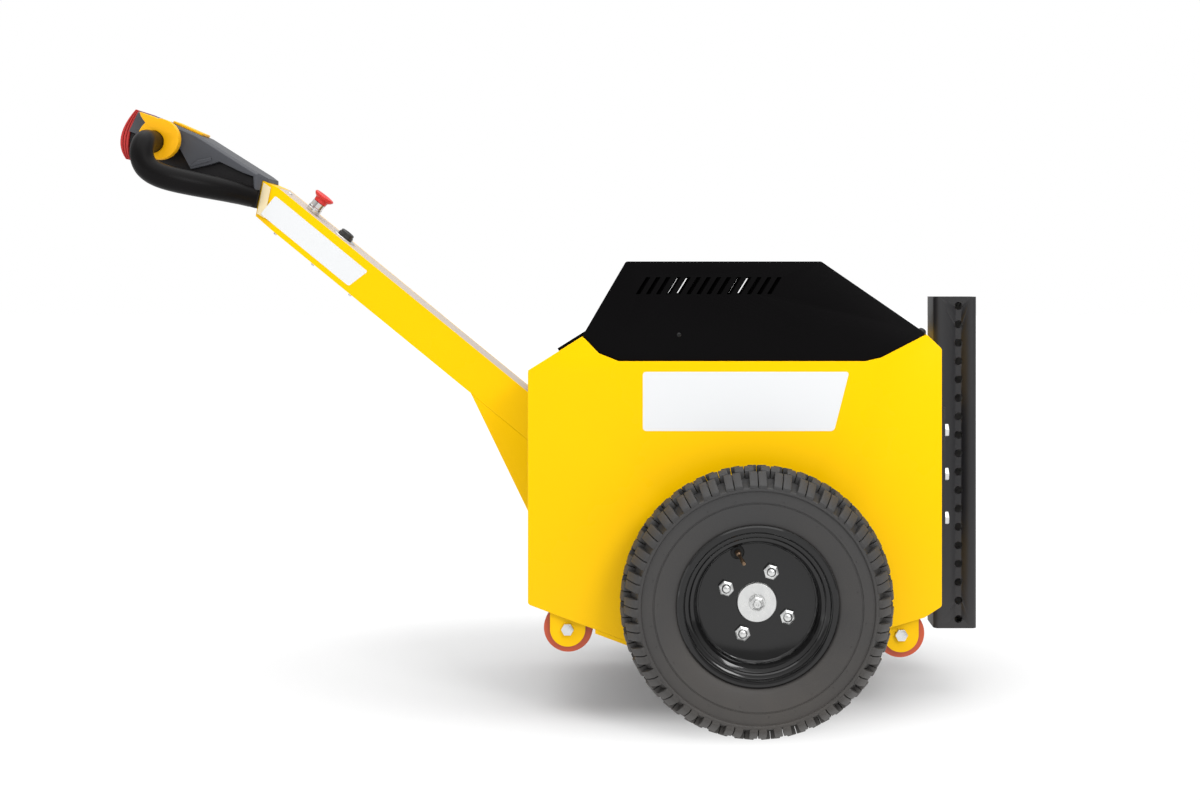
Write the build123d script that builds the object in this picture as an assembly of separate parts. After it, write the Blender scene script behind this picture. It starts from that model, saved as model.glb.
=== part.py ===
from build123d import *
import math
import os

# Walk-behind electric tug. X runs forward to the mast, Y to the left, Z up.
# The wheel axis is at X 0 and the floor at Z 0. Sizes in mm, angles in degrees.

# Drive wheels
axle_height = 200.0
tyre_radius = 202.0
tyre_width = 100.0
wheel_gap = 15.0
tread_depth = 11.0
lug_count = 32
lug_width = 25.0
lug_root_rise = 4.0
lug_step = 4.0
lug_groove = 8.0
groove_step = 1.0
shoulder_inset = 14.0
crown_inset = 32.0
edge_drop = 22.0
shoulder_drop = 13.0
crown_drop = 6.5
sidewall_ring_radius = 172.0
bead_radius = 112.0
rim_flange_radius = 118.0
rim_width = 78.0
rim_sheet = 4.0
rim_well_radius = 92.0
disc_recess = 38.0
stud_circle = 100.0
stud_hole = 15.0
rim_centre_hole = 60.0
hub_flange = 134.0
hub_flange_thickness = 12.0
shaft_diameter = 35.0
running_clearance = 0.05
seat_gap = 0.3

# Welded body
body_rear = -345.0
body_front = 285.0
body_width = 390.0
track = body_width + tyre_width + 2 * wheel_gap
plate = 6.0
panel = 5.0
belly_height = 110.0
belly_rear = -152.0
belly_front = 86.0
rear_foot_height = 182.0
front_foot_height = 179.0
seam_height = 552.0
seam_inset_rear = 55.0
seam_inset_front = 93.0
rear_shoulder_drop = 14.0
front_shoulder_rise = 19.0
hood_inset_rear = 83.0
hood_rear_rise = 38.0
hood_inset_front = 23.0
hood_front_rise = 41.0
edge_radius = 6.0

# Hood
hood_sheet = 2.0
hood_rise = 152.0
hood_top_inset_rear = 66.0
hood_top_inset_front = 160.0
hood_skirt = 12.0
hood_bend_radius = 5.0
hood_flange_length = 46.0
hood_flange_thickness = 5.0
hood_flange_width = 300.0
slot_count = 14
slot_pitch = 15.4
slot_inset = 15.0
slot_drop = 50.0
slot_height = 26.0
slot_slant = 15.7
slot_width = 6.5

# Mast
mast_section = 70.0
mast_wall = 5.0
mast_cap = 4.0
mast_corner = 8.0
mast_foot = 109.0
mast_pitch = 30.0
mast_holes = 18
mast_hole = 13.0
mast_hole_set = 40.0
mast_plate_thickness = 15.0
mast_plate_width = 280.0
mast_plate_foot = 262.0
mast_plate_height = 216.0
mast_bolt_spread = 230.0
mast_bolt_pitch = 69.0
mast_bolt_hole = 13.0

# Tiller arm
arm_width = 80.0
arm_depth = 60.0
arm_angle = 39.3
arm_sheet = 4.0
arm_root_height = 481.0
arm_bend = 545.0
arm_end_run = 26.0
arm_end_rise = 12.0
arm_end_slant = 13.0
arm_tip = 16.0
arm_pinch = 5.0
cover_sheet = 3.0
gusset_run = 109.0
gusset_foot_height = 268.0
stop_back = 59.0
stop_place = arm_bend - stop_back
stop_collar_diameter = 24.0
stop_collar_height = 20.0
stop_button_diameter = 35.0
stop_button_height = 14.0
key_back = 68.0
key_place = stop_place - key_back
key_plate_diameter = 42.0
key_plate_thickness = 2.0
key_diameter = 27.0
key_height = 10.0

# Tiller head
head_width = 92.0
head_length = 225.0
head_bevel = 4.0
head_step = 7.0
neck_lip = 16.0
neck_taper = 16.0
lip_run = 8.0
lip_rise = 7.0
head_reach = 154.3
head_lift = 55.8
grip_back = 14.0
grip_rise = 4.5
grip_diameter = 35.0
handle_half = 130.0
handle_bend = 22.0
lever_thickness = 14.0
lever_outer = 42.0
lever_throw = 9.0
lever_set = 8.0
strip_width = 40.0
strip_height = 4.0

# Rollers under the body's ends
roller_rear_x = -285.0
roller_rear_height = 142.7
roller_front_x = 224.0
roller_front_height = 134.2
roller_radius = 37.5
roller_width = 24.0
roller_core_radius = 27.0
roller_axle = 10.0
roller_side_gap = 5.0
roller_inset = 30.0
roller_setting = body_width / 2 - roller_inset
ear_thickness = 4.0
ear_radius = 27.0
ear_rise = 38.0
axle_head = 17.0
axle_head_height = 7.0

# Drive and batteries
drive_length = 150.0
drive_width = 170.0
drive_height = 150.0
drive_rise = 20.0
axle_tube_diameter = 60.0
battery_length = 138.0
battery_width = 230.0
battery_height = 208.0
battery_gap = 12.0
battery_shift = 90.0
tray_sheet = 4.0

hood_rear = body_rear + hood_inset_rear
hood_front = body_front - hood_inset_front
hood_rear_height = seam_height + hood_rear_rise
hood_front_height = seam_height + hood_front_rise
hood_top = seam_height + hood_rise
hood_top_rear = hood_rear + hood_top_inset_rear
hood_top_front = hood_front - hood_top_inset_front
rear_shoulder_height = seam_height - rear_shoulder_drop
front_shoulder_height = seam_height + front_shoulder_rise
seam_rear = hood_rear + seam_inset_rear
seam_front = hood_front - seam_inset_front
slot_first = hood_top_rear + slot_inset
slot_foot = hood_top - slot_drop
half_body = body_width / 2
inner_half = half_body - plate
hood_half = inner_half - seat_gap


def prism(points, low, high, radius=0):
    """A solid between two Y values from an outline in X and Z, with its corners rounded."""
    if radius:
        outline = FilletPolyline(*points, radius=radius, close=True)
    else:
        outline = Polyline(*points, close=True)
    return extrude(Plane.XZ.offset(-high) * make_face(outline), amount=high - low)


def block(x0, x1, y0, y1, z0, z1):
    """A box between two corners."""
    return Pos((x0 + x1) / 2, (y0 + y1) / 2, (z0 + z1) / 2) * Box(x1 - x0, y1 - y0, z1 - z0)


def bar(x, z, diameter, low, high):
    """A round bar along Y."""
    return Pos(x, (low + high) / 2, z) * Rot(90, 0, 0) * Cylinder(diameter / 2, high - low)


def spun(points):
    """A ring about the wheel axis, from radius and Y pairs."""
    profile = make_face(Polyline(*[(r, y, 0) for r, y in points], close=True))
    return Pos(0, 0, axle_height) * revolve(profile, Axis.Y)


def mirrored(shape):
    """The same piece on the left side."""
    return mirror(shape, Plane.XZ)


pieces = {}

# Side plates: cut low along the top for the hood, with a hole for the axle tube.
belly_line = [
    (body_front, front_foot_height),
    (body_front - 26, front_foot_height - 17),
    (belly_front, belly_height),
    (belly_rear, belly_height),
    (body_rear, rear_foot_height),
]
side_outline = [
    (body_rear, rear_shoulder_height),
    (hood_rear, hood_rear_height),
    (hood_rear + 25, seam_height + 12),
    (seam_rear, seam_height),
    (seam_front, seam_height),
    (seam_front + 24, seam_height + 5.5),
    (hood_front, hood_front_height),
    (body_front, front_shoulder_height),
] + belly_line
side = prism(side_outline, -half_body, -inner_half, edge_radius)
side -= bar(0, axle_height, axle_tube_diameter + 2 * seat_gap, -half_body - 1, -inner_half + 1)
pieces["side_plate_right"] = side
pieces["side_plate_left"] = mirrored(side)

# Rear and front panels: folded sheet between the side plates, open under the hood.
wrap_outline = [
    (body_rear, rear_shoulder_height),
    (hood_rear, hood_rear_height),
    (hood_front, hood_front_height),
    (body_front, front_shoulder_height),
] + belly_line
wrap_face = make_face(Polyline(*wrap_outline, close=True))
wrap_face -= offset(wrap_face, -panel, kind=Kind.INTERSECTION)
wrap = extrude(Plane.XZ.offset(-inner_half) * wrap_face, amount=2 * inner_half)
roller_table = [
    {"end": "rear", "x": roller_rear_x, "z": roller_rear_height},
    {"end": "front", "x": roller_front_x, "z": roller_front_height},
]
ear_inner = roller_width / 2 + roller_side_gap
ear_outer = ear_inner + ear_thickness
well = roller_radius + roller_side_gap
for row in roller_table:
    for side_sign in (-1, 1):
        y = side_sign * roller_setting
        wrap -= block(row["x"] - well, row["x"] + well, y - ear_outer, y + ear_outer, 0, row["z"] + well)
foot_split = (rear_foot_height + rear_shoulder_height) / 2
pan_rear = roller_rear_x + well
pan_front = roller_front_x - well
rear = wrap & block(body_rear - 10, hood_rear, -half_body, half_body, foot_split, hood_top)
rear += wrap & block(body_rear - 10, pan_rear, -half_body, half_body, 0, foot_split)
pieces["rear_panel"] = rear
front = wrap & block(hood_front, body_front + 10, -half_body, half_body, foot_split, hood_top)
front += wrap & block(pan_front, body_front + 10, -half_body, half_body, 0, foot_split)
pieces["front_panel"] = front

# Belly pan: one folded plate under the side plates' lower edges.
rear_rise = (rear_foot_height - belly_height) / (belly_rear - body_rear)
front_rise = (front_foot_height - 17 - belly_height) / (body_front - 26 - belly_front)


def belly_at(x):
    """Height of the side plates' lower edge at X."""
    return belly_height + max(0, (belly_rear - x) * rear_rise, (x - belly_front) * front_rise)


pan_top = [(pan_front, belly_at(pan_front)), (belly_front, belly_height)]
pan_top += [(belly_rear, belly_height), (pan_rear, belly_at(pan_rear))]
pan_under = [(x, z - plate) for x, z in reversed(pan_top)]
pieces["belly_pan"] = prism(pan_top + pan_under, -half_body, half_body)

# Hood: folded sheet with slanted vents, its skirt behind the side plates.
hood_outline = [
    (hood_rear, hood_rear_height + 1),
    (hood_top_rear, hood_top),
    (hood_top_front, hood_top),
    (hood_front, hood_front_height + 1),
    (seam_front + 31, seam_height - hood_skirt),
    (seam_rear - 18, seam_height - hood_skirt),
]
hood_hollow = [
    (hood_rear + hood_sheet, seam_height - 2 * hood_skirt),
    (hood_rear + hood_sheet, hood_rear_height),
    (hood_top_rear + hood_sheet, hood_top - hood_sheet),
    (hood_top_front - hood_sheet, hood_top - hood_sheet),
    (hood_front - 2 * hood_sheet, hood_front_height),
    (hood_front - 2 * hood_sheet, seam_height - 2 * hood_skirt),
]
hood = prism(hood_outline, -hood_half, hood_half, hood_bend_radius)
hood -= prism(hood_hollow, hood_sheet - hood_half, hood_half - hood_sheet)
slot_lean = slot_slant * slot_height / 25.4
for number in range(slot_count):
    foot = slot_first + number * slot_pitch
    slot = [
        (foot, slot_foot),
        (foot + slot_width, slot_foot),
        (foot + slot_width + slot_lean, slot_foot + slot_height),
        (foot + slot_lean, slot_foot + slot_height),
    ]
    hood -= prism(slot, -half_body, half_body)
slope_run = body_rear - hood_rear
slope_drop = rear_shoulder_height - hood_rear_height
slope_length = math.hypot(slope_run, slope_drop)
slope_x, slope_z = slope_run / slope_length, slope_drop / slope_length


def on_slope(along, up):
    """A point on the rear slope, from along it and up from it."""
    return (hood_rear + along * slope_x + up * slope_z, hood_rear_height + along * slope_z - up * slope_x)


flange = [
    on_slope(-3, 0),
    on_slope(hood_flange_length, 0),
    on_slope(hood_flange_length, hood_flange_thickness),
    on_slope(-3, hood_flange_thickness),
]
hood += prism(flange, -hood_flange_width / 2, hood_flange_width / 2)
pieces["hood"] = hood

# Mast: a box tube with a row of cross holes, on a bolted plate.
mast_back = body_front + mast_plate_thickness
mast_height = mast_pitch * mast_holes
mast_section_face = RectangleRounded(mast_section, mast_section, mast_corner)
mast_section_face -= RectangleRounded(
    mast_section - 2 * mast_wall, mast_section - 2 * mast_wall, mast_corner - mast_wall
)
mast = Pos(mast_back + mast_section / 2, 0, mast_foot) * extrude(mast_section_face, amount=mast_height)
for number in range(mast_holes):
    hole_height = mast_foot + mast_pitch * (number + 0.5)
    mast -= bar(mast_back + mast_hole_set, hole_height, mast_hole, -mast_section, mast_section)
pieces["mast"] = mast
cap_width = mast_section - 2 * mast_wall - 2 * seat_gap
cap = extrude(RectangleRounded(cap_width, cap_width, mast_corner - mast_wall), amount=mast_cap)
mast_middle = mast_back + mast_section / 2
cap_top = mast_foot + mast_height - mast_cap
pieces["mast_caps"] = Compound([Pos(mast_middle, 0, z) * cap for z in (mast_foot, cap_top)])
mast_plate = block(
    body_front,
    mast_back,
    -mast_plate_width / 2,
    mast_plate_width / 2,
    mast_plate_foot,
    mast_plate_foot + mast_plate_height,
)
bolt_middle = mast_plate_foot + mast_plate_height / 2
for side_sign in (-1, 1):
    for row in (-1, 0, 1):
        at = Pos(body_front, side_sign * mast_bolt_spread / 2, bolt_middle + row * mast_bolt_pitch)
        mast_plate -= at * Rot(0, 90, 0) * Cylinder(mast_bolt_hole / 2, 3 * mast_plate_thickness)
pieces["mast_plate"] = mast_plate

# Tiller arm: a folded channel up from the rear panel, with a cover and a boxed gusset.
run, rise = math.cos(math.radians(arm_angle)), math.sin(math.radians(arm_angle))


def on_arm(along, up):
    """A point in X and Z, from along the arm's top edge and up from it."""
    return (body_rear - along * run + up * rise, arm_root_height + along * rise + up * run)


arm_bend_point = on_arm(arm_bend, 0)
arm_top_end = (arm_bend_point[0] - arm_end_run, arm_bend_point[1] + arm_end_rise)
arm_under_end_x = arm_top_end[0] - arm_end_slant


def arm_under(x, up=0):
    """Height of the arm's underside at X, or of a line up from it."""
    return arm_root_height + (body_rear - x) * rise / run - (arm_depth - up) / run


arm_outline = [
    (body_rear, arm_under(body_rear)),
    (body_rear, arm_root_height),
    arm_bend_point,
    arm_top_end,
    (arm_under_end_x, arm_under(arm_under_end_x)),
]
arm = prism(arm_outline, -arm_width / 2, arm_width / 2)
hollow_end = arm_bend + seat_gap
hollow_foot = arm_bend_point[0] - arm_end_slant
arm_hollow = [
    (body_rear + 1, arm_under(body_rear + 1, arm_sheet)),
    (body_rear + 1, arm_root_height + arm_depth),
    on_arm(hollow_end, arm_depth),
    on_arm(hollow_end, -cover_sheet - seat_gap),
    (hollow_foot, arm_under(hollow_foot, arm_sheet)),
]
arm_inner = arm_width / 2 - arm_sheet
arm -= prism(arm_hollow, -arm_inner, arm_inner)
pinch = math.atan2(arm_pinch, arm_tip)
for side_sign in (-1, 1):
    fold = Plane(
        origin=(arm_top_end[0] + arm_tip, side_sign * arm_width / 2, arm_top_end[1]),
        x_dir=(arm_end_slant, 0, arm_top_end[1] - arm_under(arm_under_end_x)),
        z_dir=(-math.sin(pinch), side_sign * math.cos(pinch), 0),
    )
    arm -= fold * Pos(0, 0, arm_width / 2) * Box(4 * arm_depth, 4 * arm_tip, arm_width)
pieces["arm"] = arm
cover_outline = [
    (body_rear, arm_under(body_rear, arm_depth - cover_sheet)),
    (body_rear, arm_root_height),
    arm_bend_point,
    on_arm(arm_bend, -cover_sheet),
]
pieces["arm_cover"] = prism(cover_outline, -arm_inner, arm_inner)
gusset_end = body_rear - gusset_run
gusset_outline = [
    (body_rear, gusset_foot_height),
    (body_rear, arm_under(body_rear)),
    (gusset_end, arm_under(gusset_end)),
]
gusset = prism(gusset_outline, -arm_width / 2, arm_width / 2)
gusset_slope = (arm_under(gusset_end) - gusset_foot_height) / gusset_run
gusset_wall = arm_sheet * math.hypot(1, gusset_slope)
gusset_hollow = [
    (body_rear + 1, gusset_foot_height + gusset_wall),
    (body_rear + 1, arm_under(body_rear) + arm_depth),
    (gusset_end - 20, arm_under(gusset_end - 20) + arm_depth),
    (gusset_end - 20, gusset_foot_height + gusset_wall + (gusset_run + 20) * gusset_slope),
]
pieces["arm_gusset"] = gusset - prism(gusset_hollow, -arm_inner, arm_inner)

# Stop button and key switch on the cover.


def on_cover(along, low, diameter, height):
    """A round piece standing on the cover, from its foot's height over it."""
    x, z = on_arm(along, low + height / 2)
    return Pos(x, 0, z) * Rot(0, arm_angle, 0) * Cylinder(diameter / 2, height)


pieces["stop_collar"] = on_cover(stop_place, 0, stop_collar_diameter, stop_collar_height)
button = on_cover(stop_place, stop_collar_height, stop_button_diameter, stop_button_height)
pieces["stop_button"] = button
key = on_cover(key_place, 0, key_plate_diameter, key_plate_thickness)
pieces["key_switch"] = key + on_cover(key_place, key_plate_thickness, key_diameter, key_height)

# Tiller head: an upper and a lower shell against the arm's end.
# Outline points are from the head's middle, on a head 225 long.
scale = head_length / 225
head_half = head_width / 2
head_x = arm_top_end[0] - head_reach
head_height = arm_top_end[1] + head_lift


def on_head(dx, dz):
    """A point in X and Z, from the head's middle."""
    return (head_x + dx * scale, head_height + dz * scale)


neck_fall = arm_top_end[1] - arm_under(arm_under_end_x)


def on_neck(drop):
    """A point against the arm's end, from down its top corner."""
    return (arm_top_end[0] - seat_gap - arm_end_slant * drop / neck_fall, arm_top_end[1] - drop)


shell_split = [
    on_neck(neck_lip),
    on_head(142.7, -71.8),
    on_head(141.6, -50),
    on_head(124.5, -44),
    on_head(86, -25.6),
    on_head(73.8, -29.7),
    on_head(40.3, -37.4),
    on_head(23.1, -6),
    on_head(-60, 23.4),
]
strip_rear = on_head(2, 39.5)
strip_front = on_head(50, 18.5)
lip_end = arm_top_end[0] + lip_run
lip_foot = arm_top_end[1] - lip_run * arm_end_rise / arm_end_run
upper_outline = shell_split + [
    on_head(-44, 57),
    strip_rear,
    strip_front,
    (lip_end, lip_foot + lip_rise),
    (lip_end, lip_foot + seat_gap),
    (arm_top_end[0] - seat_gap, arm_top_end[1] + seat_gap),
]
lower_outline = shell_split + [
    on_head(-62, 9),
    on_head(-61, -20),
    on_head(-15, -44),
    on_head(47, -76),
    on_neck(neck_fall - neck_lip + 4),
]
upper = prism(upper_outline, -head_half, head_half)
bevels = []
for face in upper.faces():
    if face.normal_at().Z > 0.5:
        bevels += [edge for edge in face.edges() if abs(abs(edge.center().Y) - head_half) < 0.1]
upper = chamfer(bevels, head_bevel)
for side_sign in (-1, 1):
    corner = Polyline(
        (lip_end, side_sign * (head_half - neck_taper)),
        (lip_end, side_sign * head_half),
        (lip_end - neck_taper, side_sign * head_half),
        close=True,
    )
    upper -= extrude(Plane.XY * make_face(corner), amount=2 * head_height)
lower = prism(lower_outline, -head_half + head_step, head_half - head_step)
pieces["head_upper"] = upper
pieces["head_lower"] = lower

# Reverse pad across the head's rear end, and the button strip on its top.
pad_seat = Polyline(
    on_head(-51, 60),
    on_head(-44, 57),
    on_head(-60, 23.4),
    on_head(-62, 9),
    on_head(-61, -20),
    on_head(-67, -22),
)
pad_front = ThreePointArc(on_head(-67, -22), on_head(-75.5, 16), on_head(-51, 60))
pad_half = head_half - head_bevel
pad_face = make_face(pad_seat.edges() + pad_front.edges())
pieces["reverse_pad"] = extrude(Plane.XZ.offset(-pad_half) * pad_face, amount=2 * pad_half)
strip_outline = [
    strip_front,
    strip_rear,
    (strip_rear[0] + strip_height / 2, strip_rear[1] + strip_height),
    (strip_front[0] + strip_height / 2, strip_front[1] + strip_height),
]
pieces["button_strip"] = prism(strip_outline, -strip_width / 2, strip_width / 2)

# Loop handles: a round grip out of each side of the head, back to the neck.
grip_x, grip_height = on_head(-grip_back, grip_rise)
loop_table = [
    {"dx": 0, "out": head_half, "dz": 0},
    {"dx": 0, "out": handle_half - 27 * scale, "dz": 0},
    {"dx": -3, "out": handle_half - 2 * scale, "dz": -19},
    {"dx": 7, "out": handle_half, "dz": -42},
    {"dx": 48, "out": handle_half - 8 * scale, "dz": -60},
    {"dx": 112, "out": handle_half - 45 * scale, "dz": -74},
    {"dx": 146, "out": head_half - head_step, "dz": -84},
]
loop_points = []
for row in loop_table:
    x, z = grip_x + row["dx"] * scale, grip_height + row["dz"] * scale
    loop_points.append((x, -row["out"], z))
loop = FilletPolyline(*loop_points, radius=handle_bend)
loop_start = Plane(origin=loop @ 0, z_dir=loop % 0)
handle = sweep(loop_start * Circle(grip_diameter / 2), path=loop) - lower - upper
pieces["handle_right"] = handle
pieces["handle_left"] = mirrored(handle)

# Thumb levers: yellow crescents about the grips, each with a raised wing.
lever_inner = grip_diameter / 2 + seat_gap
lever_face = Pos(lever_throw, lever_throw / 2) * Circle(lever_outer - lever_throw)
lever_wing = [(19, 30), (3, 40), (-21, 48), (-19, 41), (-9, 26), (-11, 12), (10, 12)]
lever_face += make_face(Polyline(*[(x * scale, z * scale) for x, z in lever_wing], close=True))
lever_face -= Circle(lever_inner)
lever_gap = [(-60, -60), (-2, -60), (-2, -10), (-11, 12), (-60, 12)]
lever_face -= make_face(Polyline(*[(x * scale, z * scale) for x, z in lever_gap], close=True))
lever_start = head_half + lever_set
lever = Pos(grip_x, 0, grip_height) * extrude(
    Plane.XZ.offset(lever_start) * lever_face, amount=lever_thickness
)
pieces["thumb_lever_right"] = lever
pieces["thumb_lever_left"] = mirrored(lever)

# Drive unit: motor and gear case as one block, with the axle tubes that carry the wheels.
half_track = track / 2
tube_end = half_body + 3
shaft_end = drive_width / 2 + 5
drive_foot = belly_height + drive_rise
drive = block(
    -drive_length / 2,
    drive_length / 2,
    -drive_width / 2,
    drive_width / 2,
    drive_foot,
    drive_foot + drive_height,
)
drive += bar(0, axle_height, axle_tube_diameter, -tube_end, tube_end)
bore_diameter = shaft_diameter + 2 * running_clearance
drive -= bar(0, axle_height, bore_diameter, -tube_end - 1, -shaft_end)
drive -= bar(0, axle_height, bore_diameter, shaft_end, tube_end + 1)
pieces["drive_unit"] = drive

# Batteries on a tray that spans the body over the drive unit.
tray_foot = drive_foot + drive_height + seat_gap
tray_half = battery_length + battery_gap / 2
tray_side = inner_half - seat_gap
pieces["battery_tray"] = block(
    battery_shift - tray_half,
    battery_shift + tray_half,
    -tray_side,
    tray_side,
    tray_foot,
    tray_foot + tray_sheet,
)
battery_foot = tray_foot + tray_sheet + seat_gap
for name, side_sign in (("battery_front", 1), ("battery_rear", -1)):
    start = battery_shift + side_sign * battery_gap / 2
    end = start + side_sign * battery_length
    pieces[name] = block(
        min(start, end),
        max(start, end),
        -battery_width / 2,
        battery_width / 2,
        battery_foot,
        battery_foot + battery_height,
    )

# Drive wheel: tyre pressed flat where it stands, steel rim and hub with its shaft.
half_tyre = tyre_width / 2
rim_edge = rim_width / 2
outer_face = -half_track - rim_edge
disc_face = outer_face + disc_recess
tread_base = tyre_radius - tread_depth
bead_face = rim_edge - rim_sheet - seat_gap
carcass_profile = [
    (bead_radius, -bead_face),
    (rim_flange_radius + seat_gap, -bead_face),
    (sidewall_ring_radius, lug_step - half_tyre),
    (tread_base - groove_step, -lug_groove / 2),
]
carcass_profile += [(r, -y) for r, y in reversed(carcass_profile)]
tyre = spun([(r, y - half_track) for r, y in carcass_profile])
lug_angle = 2 * math.pi / lug_count
ring_bore = bar(0, axle_height, 2 * sidewall_ring_radius, -track, 0)


def lug_face(y, turn, root_radius, tip_radius):
    """A face across the wheel axis, with the outline of all the lugs on one shoulder."""
    corners = []
    for number in range(lug_count):
        middle = (number + turn) * lug_angle - math.pi / 2
        for flank, radius in ((-1, root_radius), (-1, tip_radius), (1, tip_radius), (1, root_radius)):
            angle = middle + flank * math.asin(lug_width / 2 / radius)
            corners.append((radius * math.cos(angle), axle_height + radius * math.sin(angle)))
    return Plane.XZ.offset(-y) * make_face(Polyline(*corners, close=True))


tread_table = [
    {"inset": 0, "tip": tyre_radius - edge_drop, "root": sidewall_ring_radius + lug_root_rise},
    {"inset": shoulder_inset, "tip": tyre_radius - shoulder_drop, "root": tread_base - shoulder_drop},
    {"inset": crown_inset, "tip": tyre_radius - crown_drop, "root": tread_base - crown_drop},
    {"inset": half_tyre - lug_groove / 2, "tip": tyre_radius, "root": tread_base},
]
for side_sign, turn in ((-1, 0), (1, 0.5)):
    sections = []
    for row in tread_table:
        y = side_sign * (half_tyre - row["inset"]) - half_track
        sections.append(lug_face(y, turn, row["root"], row["tip"]))
    tyre += loft(sections, ruled=True) - ring_bore
tyre -= block(-tyre_radius, tyre_radius, -track, 0, -tyre_radius, 0)
pieces["tyre_right"] = tyre
pieces["tyre_left"] = mirrored(tyre)
seat = bead_radius - seat_gap
rim_profile = [
    (rim_flange_radius, -rim_edge),
    (rim_flange_radius, -rim_edge + rim_sheet),
    (seat, -rim_edge + rim_sheet),
    (seat, -22),
    (rim_well_radius + rim_sheet, -14),
    (rim_well_radius + rim_sheet, 14),
    (seat, 22),
    (seat, rim_edge - rim_sheet),
    (rim_flange_radius, rim_edge - rim_sheet),
    (rim_flange_radius, rim_edge),
    (seat - rim_sheet, rim_edge),
    (seat - rim_sheet, 24),
    (rim_well_radius, 16),
    (rim_well_radius, disc_recess - rim_edge + rim_sheet + 2),
    (rim_centre_hole / 2, disc_recess - rim_edge + rim_sheet + 2),
    (rim_centre_hole / 2, disc_recess - rim_edge),
    (rim_well_radius, disc_recess - rim_edge),
    (rim_well_radius, -16),
    (seat - rim_sheet, -24),
    (seat - rim_sheet, -rim_edge),
]
rim = spun([(r, y - half_track) for r, y in rim_profile])
for number in range(4):
    angle = math.radians(65 + 90 * number)
    x, z = stud_circle / 2 * math.cos(angle), axle_height + stud_circle / 2 * math.sin(angle)
    rim -= bar(x, z, stud_hole, outer_face, -half_track + tyre_width)
pieces["rim_right"] = rim
pieces["rim_left"] = mirrored(rim)
disc_back = disc_face + rim_sheet + 2
hub = bar(0, axle_height, hub_flange, disc_back, disc_back + hub_flange_thickness)
hub += bar(0, axle_height, rim_centre_hole - 2 * seat_gap, disc_face - 2, disc_back + 1)
hub += bar(0, axle_height, axle_tube_diameter, disc_back, -tube_end - 5)
hub += bar(0, axle_height, shaft_diameter, disc_back, -shaft_end - 3)
pieces["hub_right"] = hub
pieces["hub_left"] = mirrored(hub)

# Rollers under each end of the body, in ears welded into the panels.
ears = []
axles = []
for row in roller_table:
    x, z = row["x"], row["z"]
    for side_sign, side_name in ((-1, "right"), (1, "left")):
        y = side_sign * roller_setting
        core = bar(x, z, 2 * roller_core_radius, y - roller_width / 2, y + roller_width / 2)
        core += bar(x, z, 2 * roller_axle, y - ear_inner + seat_gap, y + ear_inner - seat_gap)
        core -= bar(x, z, roller_axle + 2 * running_clearance, y - ear_outer, y + ear_outer)
        tread = bar(x, z, 2 * roller_radius, y - roller_width / 2, y + roller_width / 2)
        tread -= bar(x, z, 2 * roller_core_radius, y - ear_outer, y + ear_outer)
        pieces[f"roller_core_{row['end']}_{side_name}"] = core
        pieces[f"roller_tread_{row['end']}_{side_name}"] = tread
        axle = bar(x, z, roller_axle, y - ear_outer, y + ear_outer)
        for face in (-1, 1):
            low = y + min(face * ear_inner, face * ear_outer)
            ear = bar(x, z, 2 * ear_radius, low, low + ear_thickness)
            ear += block(x - ear_radius, x + ear_radius, low, low + ear_thickness, z, z + ear_rise)
            ears.append(ear - bar(x, z, roller_axle, y - ear_outer, y + ear_outer))
            head_low = y + face * ear_outer + min(0, face * axle_head_height)
            head = Plane.XZ.offset(-head_low - axle_head_height) * Pos(x, z)
            head *= RegularPolygon(axle_head / 2, 6, major_radius=False)
            axle += extrude(head, amount=axle_head_height)
        axles.append(axle)
pieces["roller_ears"] = Compound(ears)
pieces["roller_axles"] = Compound(axles)

# The stored frame has the floor's point under the middle of the whole length at its origin.
front_end = mast_back + mast_section
rear_end = pieces["reverse_pad"].bounding_box().min.X
centred = Pos(-(front_end + rear_end) / 2, 0, 0)
os.makedirs("parts", exist_ok=True)
for name, shape in pieces.items():
    export_step(centred * shape, f"parts/{name}.step")
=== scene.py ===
import math

import bpy
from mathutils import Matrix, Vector


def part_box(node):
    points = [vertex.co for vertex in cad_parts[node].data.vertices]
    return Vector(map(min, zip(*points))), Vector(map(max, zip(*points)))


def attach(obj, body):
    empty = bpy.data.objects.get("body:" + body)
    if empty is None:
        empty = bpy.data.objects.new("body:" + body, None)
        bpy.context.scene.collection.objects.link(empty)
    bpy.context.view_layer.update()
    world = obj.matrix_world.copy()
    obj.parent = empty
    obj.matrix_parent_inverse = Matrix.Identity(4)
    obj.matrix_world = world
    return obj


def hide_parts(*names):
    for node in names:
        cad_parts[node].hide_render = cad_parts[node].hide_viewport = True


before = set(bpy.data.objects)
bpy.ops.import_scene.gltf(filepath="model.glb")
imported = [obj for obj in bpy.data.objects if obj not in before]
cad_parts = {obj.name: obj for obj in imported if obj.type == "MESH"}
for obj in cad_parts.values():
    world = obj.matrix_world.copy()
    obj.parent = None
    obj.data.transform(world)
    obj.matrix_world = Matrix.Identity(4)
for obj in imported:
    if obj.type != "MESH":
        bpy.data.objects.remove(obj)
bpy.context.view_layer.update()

# Welded body: laser-cut side plates, folded end panels and a belly pan, welded and powder coated
# in bright yellow. The coat is thick and glossy, with a faint orange peel and a dusty lower edge.


def feed(tree, socket, value):
    """Links a socket to another one, or sets it to a fixed value."""
    if isinstance(value, bpy.types.NodeSocket):
        tree.links.new(value, socket)
    else:
        socket.default_value = value


def worked(tree, kind, operation, *values):
    """A node that does one calculation on sockets or fixed values."""
    step = tree.nodes.new(kind)
    step.operation = operation
    for socket, value in zip(step.inputs, values):
        feed(tree, socket, value)
    return step


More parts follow.
